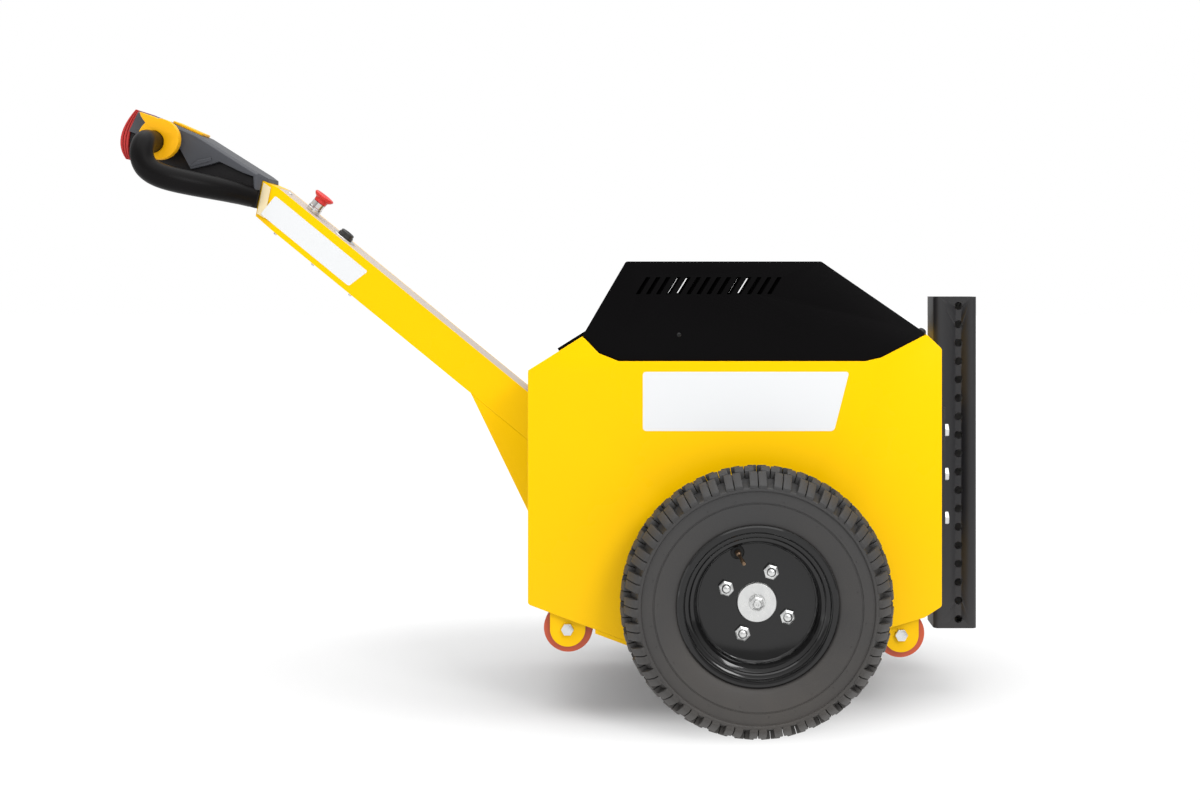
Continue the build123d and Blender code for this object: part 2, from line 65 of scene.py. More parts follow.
def ranged(tree, value, start, end, low=0.0, high=1.0):
    """A node that maps a value from one range to another and holds it at both ends."""
    span = tree.nodes.new("ShaderNodeMapRange")
    limits = {"From Min": start, "From Max": end, "To Min": low, "To Max": high}
    for socket, limit in limits.items():
        span.inputs[socket].default_value = limit
    tree.links.new(value, span.inputs["Value"])
    return span


def blend(tree, amount, first, second):
    """Mixes two colours, each a socket or a fixed colour, by an amount."""
    mix = tree.nodes.new("ShaderNodeMix")
    mix.data_type = "RGBA"
    tree.links.new(amount, mix.inputs[0])
    for socket, colour in ((mix.inputs[6], first), (mix.inputs[7], second)):
        feed(tree, socket, colour if isinstance(colour, bpy.types.NodeSocket) else (*colour, 1))
    return mix.outputs[2]


def marks_group():
    """Grain, mottle and low dust that the finishes share, from the piece's own coordinates."""
    group = bpy.data.node_groups.new("surface_marks", "ShaderNodeTree")
    for socket, value in (("Grain Scale", 400.0), ("Mottle Scale", 6.0)):
        made = group.interface.new_socket(socket, in_out="INPUT", socket_type="NodeSocketFloat")
        made.default_value = value
    for socket in ("Grain", "Mottle", "Low Dust"):
        group.interface.new_socket(socket, in_out="OUTPUT", socket_type="NodeSocketFloat")
    nodes, links = group.nodes, group.links
    enter = nodes.new("NodeGroupInput")
    leave = nodes.new("NodeGroupOutput")
    place = nodes.new("ShaderNodeTexCoord")
    grain = nodes.new("ShaderNodeTexNoise")
    grain.inputs["Detail"].default_value = 3.0
    links.new(place.outputs["Object"], grain.inputs["Vector"])
    links.new(enter.outputs["Grain Scale"], grain.inputs["Scale"])
    links.new(grain.outputs["Fac"], leave.inputs["Grain"])
    mottle = nodes.new("ShaderNodeTexNoise")
    mottle.inputs["Detail"].default_value = 5.0
    mottle.inputs["Roughness"].default_value = 0.62
    links.new(place.outputs["Object"], mottle.inputs["Vector"])
    links.new(enter.outputs["Mottle Scale"], mottle.inputs["Scale"])
    links.new(mottle.outputs["Fac"], leave.inputs["Mottle"])
    split = nodes.new("ShaderNodeSeparateXYZ")
    links.new(place.outputs["Object"], split.inputs["Vector"])
    clean_height, dusty_height = 0.34, 0.05
    low = ranged(group, split.outputs["Z"], clean_height, dusty_height)
    dust = worked(group, "ShaderNodeMath", "MULTIPLY", low.outputs["Result"], mottle.outputs["Fac"])
    links.new(dust.outputs["Value"], leave.inputs["Low Dust"])
    return group


marks = marks_group()


def finish_of(name, pale, deep, rough, grain, mottle, dust, metal=0.0, coat=0.0, gleam=0.5):
    """A finish whose colour wanders from pale to deep, with its own gloss, grain and low dust.

    rough is the least and most roughness, grain its scale and depth, dust its colour and share.
    """
    material = bpy.data.materials.new(name)
    material.use_nodes = True
    tree = material.node_tree
    shader = tree.nodes["Principled BSDF"]
    shader.inputs["Metallic"].default_value = metal
    shader.inputs["Coat Weight"].default_value = coat
    shader.inputs["Coat Roughness"].default_value = 0.12
    shader.inputs["Specular IOR Level"].default_value = gleam
    grain_scale, grain_depth = grain
    *dust_colour, dust_share = dust
    effect = tree.nodes.new("ShaderNodeGroup")
    effect.node_tree = marks
    effect.inputs["Grain Scale"].default_value = grain_scale
    effect.inputs["Mottle Scale"].default_value = mottle
    tone = blend(tree, effect.outputs["Mottle"], pale, deep)
    veil = worked(tree, "ShaderNodeMath", "MULTIPLY", effect.outputs["Low Dust"], dust_share)
    dusty = blend(tree, veil.outputs["Value"], tone, dust_colour)
    tree.links.new(dusty, shader.inputs["Base Color"])
    gloss = ranged(tree, effect.outputs["Mottle"], 0.0, 1.0, *rough)
    tree.links.new(gloss.outputs["Result"], shader.inputs["Roughness"])
    relief = tree.nodes.new("ShaderNodeBump")
    relief.inputs["Strength"].default_value = grain_depth
    relief.inputs["Distance"].default_value = 0.001
    tree.links.new(effect.outputs["Grain"], relief.inputs["Height"])
    tree.links.new(relief.outputs["Normal"], shader.inputs["Normal"])
    return material


def recolour(material, amount, colour):
    """Lays a second colour over a finish by an amount."""
    tree = material.node_tree
    base = tree.nodes["Principled BSDF"].inputs["Base Color"]
    tree.links.new(blend(tree, amount, base.links[0].from_socket, colour), base)


def dress(piece, material, body):
    """Gives a piece its finish and the body that it moves with."""
    piece.data.materials.clear()
    piece.data.materials.append(material)
    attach(piece, body)


def paint(node, material):
    """Gives a solid that stays in view its finish."""
    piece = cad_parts[node]
    piece.data.materials.clear()
    piece.data.materials.append(material)


def round_edges(piece, width, segments=3, angle=30.0, hard=False):
    """Rounds off the edges of a piece that are sharper than an angle in degrees."""
    rounding = piece.modifiers.new("rounding", "BEVEL")
    rounding.width = width
    rounding.segments = segments
    rounding.limit_method = "ANGLE"
    rounding.angle_limit = math.radians(angle)
    rounding.harden_normals = hard
    bpy.ops.object.modifier_apply(modifier="rounding")


def soften(node, material, body, width=0.0, angle=32.0):
    """Stands in for a solid with the same shape, its edges rounded off and its curves smooth."""
    bpy.ops.object.select_all(action="DESELECT")
    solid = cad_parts[node]
    piece = solid.copy()
    piece.data = solid.data.copy()
    piece.name = node + "_finished"
    piece.parent = None
    for key in list(piece.keys()):
        del piece[key]
    bpy.context.scene.collection.objects.link(piece)
    bpy.context.view_layer.objects.active = piece
    piece.select_set(True)
    bpy.ops.object.mode_set(mode="EDIT")
    bpy.ops.mesh.select_all(action="SELECT")
    bpy.ops.mesh.remove_doubles(threshold=0.00002)
    if width:
        bpy.ops.mesh.dissolve_limited(angle_limit=math.radians(0.6))
    bpy.ops.object.mode_set(mode="OBJECT")
    if width:
        bpy.ops.object.shade_smooth()
        round_edges(piece, width, angle=angle, hard=True)
    else:
        bpy.ops.object.shade_smooth_by_angle(angle=math.radians(angle))
    dress(piece, material, body)
    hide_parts(node)


body_yellow = finish_of(
    "body_yellow", pale=(1.0, 0.59, 0.0), deep=(0.98, 0.55, 0.0), rough=(0.22, 0.34),
    grain=(420.0, 0.04), mottle=2.2, dust=(0.62, 0.36, 0.06, 0.2), gleam=0.08,
)
# Light that bounces off the coat stays grey, so that the floor isn't tinted.
coat_ray = body_yellow.node_tree.nodes.new("ShaderNodeLightPath")
recolour(body_yellow, coat_ray.outputs["Is Diffuse Ray"], (0.55, 0.55, 0.55))
for node in ("side_plate_right", "side_plate_left"):
    soften(node, body_yellow, "chassis", width=0.0012, angle=45.0)
for node in ("rear_panel", "front_panel", "belly_pan", "roller_ears", "battery_tray"):
    paint(node, body_yellow)

# Side sign: one blank white vinyl sheet on the right side plate, with a slanted front end.
# It is stuck on flat, a third of a millimetre thick, with small round corners.


def sheet_of(name, corners, push):
    """A flat piece with the given corners, pushed out to its thickness."""
    bpy.ops.object.select_all(action="DESELECT")
    bpy.ops.mesh.primitive_circle_add(vertices=len(corners), radius=0.01, fill_type="NGON")
    piece = bpy.context.object
    piece.name = name
    for vertex, corner in zip(piece.data.vertices, corners):
        vertex.co = corner
    bpy.ops.object.mode_set(mode="EDIT")
    bpy.ops.mesh.select_all(action="SELECT")
    bpy.ops.mesh.extrude_region_move(TRANSFORM_OT_translate={"value": push})
    bpy.ops.mesh.select_all(action="SELECT")
    bpy.ops.mesh.normals_make_consistent(inside=False)
    bpy.ops.object.mode_set(mode="OBJECT")
    return piece


def round_corners(piece, push, radius):
    """Rounds the edges that run through the thickness of a flat piece."""
    way = Vector(push).normalized()
    bpy.ops.object.mode_set(mode="EDIT")
    bpy.ops.mesh.select_mode(type="EDGE")
    bpy.ops.mesh.select_all(action="DESELECT")
    bpy.ops.object.mode_set(mode="OBJECT")
    for edge in piece.data.edges:
        ends = [piece.data.vertices[index].co for index in edge.vertices]
        edge.select = abs((ends[1] - ends[0]).normalized().dot(way)) > 0.99
    bpy.ops.object.mode_set(mode="EDIT")
    bpy.ops.mesh.bevel(offset=radius, segments=5)
    bpy.ops.mesh.select_mode(type="VERT")
    bpy.ops.object.mode_set(mode="OBJECT")


sign_white = finish_of(
    "sign_white", pale=(0.765, 0.775, 0.785), deep=(0.735, 0.745, 0.755), rough=(0.3, 0.42),
    grain=(900.0, 0.02), mottle=3.0, dust=(0.8, 0.8, 0.8, 0.1),
)
body_side = 0.1950
sign_rear, sign_front_top, sign_front_foot = 0.1564, 0.4704, 0.4474
sign_top, sign_foot = 0.536, 0.446
vinyl = 0.0003
side_sign = sheet_of(
    "side_sign",
    [
        (sign_rear, -body_side, sign_top), (sign_front_top, -body_side, sign_top),
        (sign_front_foot, -body_side, sign_foot), (sign_rear, -body_side, sign_foot),
    ],
    (0, -vinyl, 0),
)
round_corners(side_sign, (0, -1, 0), 0.005)
dress(side_sign, sign_white, "chassis")

# Hood: two-millimetre sheet, folded and welded at the corners, in fine-textured black powder coat.
# Blades bent in from its slots keep rain out. Dome-head screws hold it to the body.


def turned(name, profile, centre, axis, steps=48, angle=32.0):
    """A turned piece from pairs of radius and height on its axis; six steps give a hexagon."""
    axis = Vector(axis).normalized()
    side = axis.orthogonal().normalized()
    centre = Vector(centre)
    points = [centre + radius * side + height * axis for radius, height in profile]
    bpy.ops.object.select_all(action="DESELECT")
    bpy.ops.mesh.primitive_plane_add(size=0.001)
    piece = bpy.context.object
    piece.name = name
    bpy.ops.object.mode_set(mode="EDIT")
    bpy.ops.mesh.select_all(action="SELECT")
    bpy.ops.mesh.merge(type="CENTER")
    bpy.ops.transform.translate(value=points[0])
    for start, end in zip(points, points[1:]):
        bpy.ops.mesh.extrude_region_move(TRANSFORM_OT_translate={"value": end - start})
    bpy.ops.mesh.select_all(action="SELECT")
    bpy.ops.mesh.spin(steps=steps, angle=2 * math.pi, center=centre, axis=axis)
    bpy.ops.mesh.select_all(action="SELECT")
    bpy.ops.mesh.remove_doubles(threshold=0.00002)
    bpy.ops.mesh.normals_make_consistent(inside=False)
    bpy.ops.object.mode_set(mode="OBJECT")
    bpy.ops.object.shade_smooth_by_angle(angle=math.radians(angle))
    return piece


def joined(name, parts):
    """One piece from several."""
    bpy.ops.object.select_all(action="DESELECT")
    for part in parts:
        part.select_set(True)
    bpy.context.view_layer.objects.active = parts[0]
    bpy.ops.object.join()
    parts[0].name = name
    return parts[0]


hood_black = finish_of(
    "hood_black", pale=(0.0014, 0.0012, 0.0014), deep=(0.003, 0.0027, 0.003), rough=(0.3, 0.42),
    grain=(700.0, 0.06), mottle=3.0, dust=(0.1, 0.1, 0.1, 0.0), gleam=0.05,
)
soften("hood", hood_black, "chassis", width=0.0007, angle=50.0)
slot_count, slot_pitch = 14, 0.0154
slot_foot, slot_top = 0.654, 0.680
slot_edge_foot, slot_edge_top = 0.1519, 0.1680
hood_inside = 0.1866
blade_reach, blade_depth = 0.0042, 0.0050
louvres = []
for side in (-1, 1):
    bent, free = side * hood_inside, side * (hood_inside - blade_depth)
    louvre = sheet_of(
        "louvre",
        [
            (slot_edge_foot, bent, slot_foot), (slot_edge_top, bent, slot_top),
            (slot_edge_top - blade_reach, free, slot_top),
            (slot_edge_foot - blade_reach, free, slot_foot),
        ],
        (0.0009, side * -0.0008, 0),
    )
    bpy.ops.object.mode_set(mode="EDIT")
    bpy.ops.mesh.select_all(action="SELECT")
    for number in range(slot_count - 1):
        bpy.ops.mesh.duplicate_move(TRANSFORM_OT_translate={"value": (slot_pitch, 0, 0)})
    bpy.ops.object.mode_set(mode="OBJECT")
    louvres.append(louvre)
dress(joined("hood_louvres", louvres), hood_black, "chassis")
screw_black = finish_of(
    "screw_black", pale=(0.014, 0.014, 0.015), deep=(0.03, 0.03, 0.03), rough=(0.25, 0.4),
    grain=(900.0, 0.1), mottle=40.0, dust=(0.1, 0.1, 0.1, 0.0), metal=0.6,
)
dome = [
    (0, 0.0062), (0.0024, 0.0062), (0.0026, 0.0042), (0.0038, 0.0058), (0.0056, 0.0044),
    (0.0070, 0.0016), (0.0070, -0.001),
]
small_dome = [(radius * 0.5, height * 0.35) for radius, height in dome]
slope_normal = (0.57, 0, 0.82)
hood_side = 0.1887
hood_screws = []
for side in (-1, 1):
    slope_place = (0.5852, side * 0.165, 0.5953)
    hood_screws.append(turned("hood_screw", dome, slope_place, slope_normal, 24))
    side_place = (0.2115, side * hood_side, 0.592)
    hood_screws.append(turned("hood_screw", small_dome, side_place, (0, side, 0), 20))
dress(joined("hood_screws", hood_screws), screw_black, "chassis")

# Mast: a square steel tube with a row of pin holes, welded to a thick plate, satin black outside
# and bare inside. Six zinc-plated bolts with washers hold the plate to the body, and plastic
# plugs close the tube.
mast_black = finish_of(
    "mast_black", pale=(0.011, 0.0105, 0.012), deep=(0.018, 0.0175, 0.019), rough=(0.34, 0.5),
    grain=(520.0, 0.12), mottle=5.0, dust=(0.16, 0.15, 0.14, 0.2), gleam=0.4,
)
tube_middle, tube_inside = (0.6614, 0, 0), 0.0303
mast_tree = mast_black.node_tree
mast_place = mast_tree.nodes.new("ShaderNodeTexCoord").outputs["Object"]
mast_off = worked(mast_tree, "ShaderNodeVectorMath", "SUBTRACT", mast_place, tube_middle)
mast_span = worked(mast_tree, "ShaderNodeVectorMath", "ABSOLUTE", mast_off.outputs["Vector"])
mast_split = mast_tree.nodes.new("ShaderNodeSeparateXYZ")
mast_tree.links.new(mast_span.outputs["Vector"], mast_split.inputs["Vector"])
mast_wide = worked(
    mast_tree, "ShaderNodeMath", "MAXIMUM", mast_split.outputs["X"], mast_split.outputs["Y"]
)
mast_bare = worked(
    mast_tree, "ShaderNodeMath", "LESS_THAN", mast_wide.outputs["Value"], tube_inside
)
recolour(mast_black, mast_bare.outputs["Value"], (0.46, 0.45, 0.44))
soften("mast", mast_black, "chassis", angle=40.0)
soften("mast_plate", mast_black, "chassis", width=0.0015, angle=40.0)
plug_black = finish_of(
    "plug_black", pale=(0.02, 0.02, 0.02), deep=(0.035, 0.035, 0.035), rough=(0.45, 0.6),
    grain=(300.0, 0.2), mottle=20.0, dust=(0.2, 0.19, 0.17, 0.3),
)
soften("mast_caps", plug_black, "chassis", width=0.001, angle=40.0)
zinc = finish_of(
    "zinc", pale=(0.78, 0.78, 0.76), deep=(0.60, 0.61, 0.62), rough=(0.18, 0.4),
    grain=(800.0, 0.1), mottle=60.0, dust=(0.4, 0.38, 0.34, 0.1), metal=1.0,
)


def bolt_head(name, centre, axis, across, height):
    """A chamfered hexagon head on its washer."""
    thickness = 0.002
    reach = across * 0.63
    rim = [(across * 0.60, thickness), (reach, thickness * 0.7), (reach, 0)]
    washer = turned(name, [(0, thickness), *rim, (0, 0)], centre, axis, 32)
    base = Vector(centre) + thickness * Vector(axis).normalized()
    corner = across / 2 / math.cos(math.pi / 6)
    chamfer = [(across * 0.40, height), (across * 0.46, height * 0.97), (corner, height * 0.84)]
    head = turned(name, [(0, height), *chamfer, (corner, 0), (0, 0)], base, axis, 6, 20.0)
    return joined(name, [washer, head])


plate_face, bolt_spread = 0.6264, 0.115
mast_bolts = []
for side in (-1, 1):
    for height in (0.301, 0.370, 0.439):
        place = (plate_face, side * bolt_spread, height)
        mast_bolts.append(bolt_head("mast_bolt", place, (1, 0, 0), across=0.0185, height=0.0075))
dress(joined("mast_bolts", mast_bolts), zinc, "chassis")

# Tiller arm: a folded steel channel in the body's yellow, with a beige lid and a boxed gusset.
# Its end is pinched where the head sits on it. A blank white sign is stuck on its right side.
soften("arm", body_yellow, "chassis", angle=10.0)
soften("arm_gusset", body_yellow, "chassis", width=0.0012, angle=30.0)
lid_beige = finish_of(
    "lid_beige", pale=(0.53, 0.455, 0.39), deep=(0.485, 0.415, 0.355), rough=(0.42, 0.55),
    grain=(500.0, 0.03), mottle=8.0, dust=(0.4, 0.36, 0.3, 0.1),
)
soften("arm_cover", lid_beige, "chassis", width=0.0006, angle=30.0)
arm_lean = math.radians(39.3)
up_arm = Vector((-math.cos(arm_lean), 0, math.sin(arm_lean)))
off_arm = Vector((math.sin(arm_lean), 0, math.cos(arm_lean)))
arm_root = Vector((-0.0186, 0, 0.481))
arm_side = 0.040


def on_arm(along, across, off):
    """A point from along the arm's top edge, across it and off it."""
    return arm_root + along * up_arm + off * off_arm + Vector((0, across, 0))


arm_sign = sheet_of(
    "arm_sign",
    [
        on_arm(0.540, -arm_side, -0.013), on_arm(0.346, -arm_side, -0.013),
        on_arm(0.355, -arm_side, -0.051), on_arm(0.540, -arm_side, -0.051),
    ],
    (0, -vinyl, 0),
)
round_corners(arm_sign, (0, -1, 0), 0.003)
dress(arm_sign, sign_white, "chassis")
# Painted highlight: a thin cream sheet on each face of the pinched end stands for glare on its
# yellow paint.
painted_glare_cream = finish_of(
    "painted_glare_cream", pale=(0.90, 0.76, 0.47), deep=(0.84, 0.70, 0.43), rough=(0.42, 0.55),
    grain=(500.0, 0.1), mottle=8.0, dust=(0.4, 0.36, 0.3, 0.0),
)
end_top = (Vector((-0.4664, 0.0352, 0.8382)), Vector((-0.4504, 0.0402, 0.8308)))
end_foot = (Vector((-0.4794, 0.0352, 0.7806)), Vector((-0.4634, 0.0402, 0.7675)))
# Each corner of the painted glare patch: its shares of the pinched end's length and height.
glare_shares = ((0.12, 0.04), (0.95, 0.08), (0.95, 0.86), (0.16, 0.90))
glare_thickness = 0.0004
for side in (-1, 1):
    corners = []
    for back, down in glare_shares:
        corner = end_top[0].lerp(end_top[1], back).lerp(end_foot[0].lerp(end_foot[1], back), down)
        corners.append(Vector((1, side, 1)) * corner)
    glare_patch = sheet_of("arm_end_painted_glare", corners, (-0.0001, side * glare_thickness, 0))
    dress(glare_patch, painted_glare_cream, "chassis")
stub = [
    (0, 0.0055), (0.0016, 0.0055), (0.0028, 0.0042), (0.0028, 0.001), (0.0045, 0.001),
    (0.0045, -0.0005),
]
screw_across, arm_underside = -0.022, -0.060
arm_screws = []
for along in (0.3475, 0.426, 0.505):
    screw_place = on_arm(along, screw_across, arm_underside)
    arm_screws.append(turned("arm_screw", stub, screw_place, -off_arm, 20))
flat_dome = [(radius * 0.55, height * 0.3) for radius, height in dome[:6]]
arm_screws.append(turned("lid_screw", flat_dome, on_arm(0.533, 0, 0), off_arm, 20))
dress(joined("arm_screws", arm_screws), zinc, "chassis")

# Stop button: a red twist-release mushroom on a chromed collar, screwed through the lid.
# The cap is flared, with a rolled rim and a dished top.
collar_chrome = finish_of(
    "collar_chrome", pale=(0.66, 0.64, 0.63), deep=(0.56, 0.54, 0.52), rough=(0.06, 0.14),
    grain=(600.0, 0.02), mottle=30.0, dust=(0.5, 0.5, 0.5, 0.0), metal=1.0,
)
stop_along, collar_height = 0.486, 0.020
collar = [
    (0, collar_height), (0.0105, collar_height), (0.0112, 0.0194), (0.0112, 0.0105),
    (0.0120, 0.0098), (0.0120, 0.0072), (0.0116, 0.0068), (0.0120, 0.0062), (0.0120, 0.0008),
    (0.0114, 0.0001), (0, 0.0001),
]
collar_piece = turned("stop_collar_turned", collar, on_arm(stop_along, 0, 0), off_arm, 48)
dress(collar_piece, collar_chrome, "chassis")
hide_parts("stop_collar")
stop_red = finish_of(
    "stop_red", pale=(0.72, 0.028, 0.022), deep=(0.60, 0.018, 0.016), rough=(0.28, 0.4),
    grain=(500.0, 0.05), mottle=20.0, dust=(0.5, 0.2, 0.2, 0.0),
)
cap = [
    (0, 0.0118), (0.0090, 0.0122), (0.0132, 0.0140), (0.0162, 0.0140), (0.0175, 0.0126),
    (0.0173, 0.0108), (0.0150, 0.0078), (0.0122, 0.0060), (0.0112, 0.0036), (0.0112, 0.0004),
    (0, 0.0004),
]
cap_piece = turned("stop_cap_turned", cap, on_arm(stop_along, 0, collar_height), off_arm, 64)
dress(cap_piece, stop_red, "chassis")
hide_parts("stop_button")

# Key switch: a black moulded barrel with a key slot, over a bright steel washer plate on the lid.
# A ring nut holds it from inside the arm.
key_along, key_seat = 0.418, 0.002
plate = [(0, 0.0019), (0.0203, 0.0019), (0.0209, 0.0013), (0.0209, 0.0001), (0, 0.0001)]
key_plate = turned("key_plate", plate, on_arm(key_along, 0, 0), off_arm)
dress(key_plate, zinc, "chassis")
key_black = finish_of(
    "key_black", pale=(0.014, 0.014, 0.014), deep=(0.024, 0.024, 0.024), rough=(0.3, 0.45),
    grain=(700.0, 0.1), mottle=30.0, dust=(0.1, 0.1, 0.1, 0.0),
)
barrel = [
    (0, 0.0078), (0.0062, 0.0078), (0.0066, 0.0098), (0.0104, 0.0098), (0.0118, 0.0086),
    (0.0120, 0.0052), (0.0133, 0.0046), (0.0134, 0.0004), (0.0126, 0.0001), (0, 0.0001),
]
barrel_piece = turned("key_barrel", barrel, on_arm(key_along, 0, key_seat), off_arm, 48)
key_half_length, key_half_width, key_floor, key_rise = 0.0045, 0.001, 0.0096, 0.0006
key_slot = sheet_of(
    "key_slot",
    [
        on_arm(key_along + key_half_length, -key_half_width, key_floor),
        on_arm(key_along + key_half_length, key_half_width, key_floor),
        on_arm(key_along - key_half_length, key_half_width, key_floor),
        on_arm(key_along - key_half_length, -key_half_width, key_floor),
    ],
    key_rise * off_arm,
)
key_piece = joined("key_switch_barrel", [barrel_piece, key_slot])
dress(key_piece, key_black, "chassis")
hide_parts("key_switch")

# Tiller head: two moulded shells, slate grey above and black below, screwed together round the
# rubber-covered loop handles. The mouldings have soft edges and a fine spark-eroded texture.
shell_grey = finish_of(
    "shell_grey", pale=(0.058, 0.061, 0.071), deep=(0.048, 0.051, 0.060), rough=(0.42, 0.56),
    grain=(900.0, 0.16), mottle=5.0, dust=(0.2, 0.2, 0.2, 0.0),
)
shell_black = finish_of(
    "shell_black", pale=(0.006, 0.0055, 0.006), deep=(0.011, 0.010, 0.011), rough=(0.3, 0.42),
    grain=(800.0, 0.1), mottle=6.0, dust=(0.2, 0.2, 0.2, 0.0), gleam=0.25,
)
grip_rubber = finish_of(
    "grip_rubber", pale=(0.004, 0.0036, 0.0038), deep=(0.007, 0.0064, 0.0066), rough=(0.3, 0.42),
    grain=(700.0, 0.08), mottle=9.0, dust=(0.2, 0.2, 0.2, 0.0), gleam=0.08,
)
soften("head_upper", shell_grey, "chassis", width=0.0006, angle=20.0)
soften("head_lower", shell_black, "chassis", width=0.0015, angle=20.0)
ridge_corners = ((-0.5811, 0.8598), (-0.5471, 0.8687), (-0.5461, 0.8752), (-0.5704, 0.8699))
ridge_side, ridge_height = 0.0458, 0.0024
for side in (-1, 1):
    corners = [(ahead, side * ridge_side, above) for ahead, above in ridge_corners]
    ridge = sheet_of("head_ridge", corners, (0, side * ridge_height, 0))
    round_edges(ridge, 0.0016)
    dress(ridge, shell_grey, "chassis")
grip_ahead, grip_above, grip_radius = -0.6346, 0.8985, 0.0175
# Each stop on a handle: ahead of the grip, across the head, above the grip, and how stout.
handle_route = [
    (0, 0.046, 0, 1), (0, 0.070, 0, 1), (0.001, 0.094, 0, 1), (0.003, 0.117, -0.005, 1),
    (0.003, 0.128, -0.022, 1.02), (0.008, 0.130, -0.043, 1.06), (0.025, 0.127, -0.057, 1.1),
    (0.054, 0.119, -0.066, 1.12), (0.112, 0.085, -0.077, 1.08), (0.134, 0.058, -0.082, 1),
    (0.150, 0.038, -0.087, 0.96),
]
for node, side in (("handle_right", -1), ("handle_left", 1)):
    bpy.ops.object.select_all(action="DESELECT")
    bpy.ops.curve.primitive_nurbs_path_add()
    tube = bpy.context.object
    spline = tube.data.splines[0]
    spline.points.add(len(handle_route) - len(spline.points))
    for point, (ahead, across, above, stout) in zip(spline.points, handle_route):
        point.co = (grip_ahead + ahead, side * across, grip_above + above, 1)
        point.radius = stout
    spline.order_u = 4
    spline.use_endpoint_u = True
    spline.resolution_u = 10
    tube.data.bevel_depth = grip_radius
    tube.data.bevel_resolution = 8
    bpy.ops.object.convert(target="MESH")
    tube = bpy.context.object
    tube.name = node + "_moulded"
    bpy.ops.object.shade_smooth()
    dress(tube, grip_rubber, "chassis")
    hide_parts(node)

# Thumb levers: moulded yellow crescents that pivot round the grips, one on each side, and the
# yellow button strip that clips into the head's top.
lever_yellow = finish_of(
    "lever_yellow", pale=(0.98, 0.50, 0.002), deep=(0.92, 0.43, 0.002), rough=(0.34, 0.48),
    grain=(800.0, 0.08), mottle=12.0, dust=(0.5, 0.3, 0.1, 0.0), gleam=0.25,
)
for node in ("thumb_lever_right", "thumb_lever_left"):
    soften(node, lever_yellow, "chassis", width=0.0022, angle=30.0)
soften("button_strip", lever_yellow, "chassis", width=0.0012, angle=30.0)

# Reverse pad: a red rubber bellows across the head's rear end, pressed by the walker's body.
# Its pleats run along the pad, and the dark lines between them are painted shade: a near-black
# core.
pad_red = finish_of(
    "pad_red", pale=(0.52, 0.045, 0.042), deep=(0.44, 0.034, 0.033), rough=(0.45, 0.6),
    grain=(600.0, 0.15), mottle=18.0, dust=(0.3, 0.1, 0.1, 0.0), gleam=0.2,
)
# Painted shade: a near-black red for the core that fills the grooves between the pleats.
pad_painted_shade = finish_of(
    "pad_painted_shade", pale=(0.035, 0.006, 0.006), deep=(0.025, 0.005, 0.005), rough=(0.6, 0.75),
    grain=(600.0, 0.1), mottle=18.0, dust=(0.1, 0.05, 0.05, 0.0), gleam=0.1,
)
pad_face = ((-0.6712, 0.9536), (-0.6955, 0.9100), (-0.6872, 0.8724))
pad_seat = ((-0.6652, 0.9515), (-0.6818, 0.9110), (-0.6814, 0.8735))


def on_pad(share, depth, half):
    """A point on the pad's side, from down its curved face and from that face to the head."""
    weights = (2 * share**2 - 3 * share + 1, 4 * share - 4 * share**2, 2 * share**2 - share)
    ahead = above = 0.0
    for weight, face, seat in zip(weights, pad_face, pad_seat):
        ahead += weight * (face[0] + depth * (seat[0] - face[0]))
        above += weight * (face[1] + depth * (seat[1] - face[1]))
    return (ahead, -half, above)


def pad_layer(name, shares, start, end, half):
    """A layer of the pad between two depths, across its whole width."""
    corners = [on_pad(share, start, half) for share in shares]
    corners += [on_pad(share, end, half) for share in reversed(shares)]
    return sheet_of(name, corners, (0, 2 * half, 0))


pad_half, shade_core_half = 0.0415, 0.0396
pleat_shares = [step / 12 for step in range(13)]
pleats = []
for start, end in ((0.0, 0.30), (0.38, 0.64), (0.72, 1.0)):
    pleat = pad_layer("pleat", pleat_shares, start, end, pad_half)
    round_edges(pleat, 0.0009, angle=40)
    bpy.ops.object.shade_smooth_by_angle(angle=math.radians(35))
    pleats.append(pleat)
pad_bellows = joined("reverse_pad_bellows", pleats)
dress(pad_bellows, pad_red, "chassis")
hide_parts("reverse_pad")
# The core, narrower than the pleats, shows in their grooves as painted shade.
shade_core_shares = [0.02 + step / 12.5 for step in range(13)]
pad_shade_core = pad_layer("reverse_pad_shade_core", shade_core_shares, 0.15, 0.85, shade_core_half)
dress(pad_shade_core, pad_painted_shade, "chassis")

# Drive unit and batteries: cast gear case with its motor, and two sealed batteries on a tray.
# They are inside the body; only the ends of the axle tubes show behind the wheels.
case_grey = finish_of(
    "case_grey", pale=(0.09, 0.09, 0.095), deep=(0.05, 0.05, 0.052), rough=(0.5, 0.7),
    grain=(260.0, 0.4), mottle=14.0, dust=(0.2, 0.18, 0.15, 0.3),
)
paint("drive_unit", case_grey)
battery_grey = finish_of(
    "battery_grey", pale=(0.05, 0.05, 0.055), deep=(0.035, 0.035, 0.04), rough=(0.4, 0.55),
    grain=(500.0, 0.15), mottle=8.0, dust=(0.2, 0.18, 0.15, 0.0),
)
paint("battery_front", battery_grey)
paint("battery_rear", battery_grey)

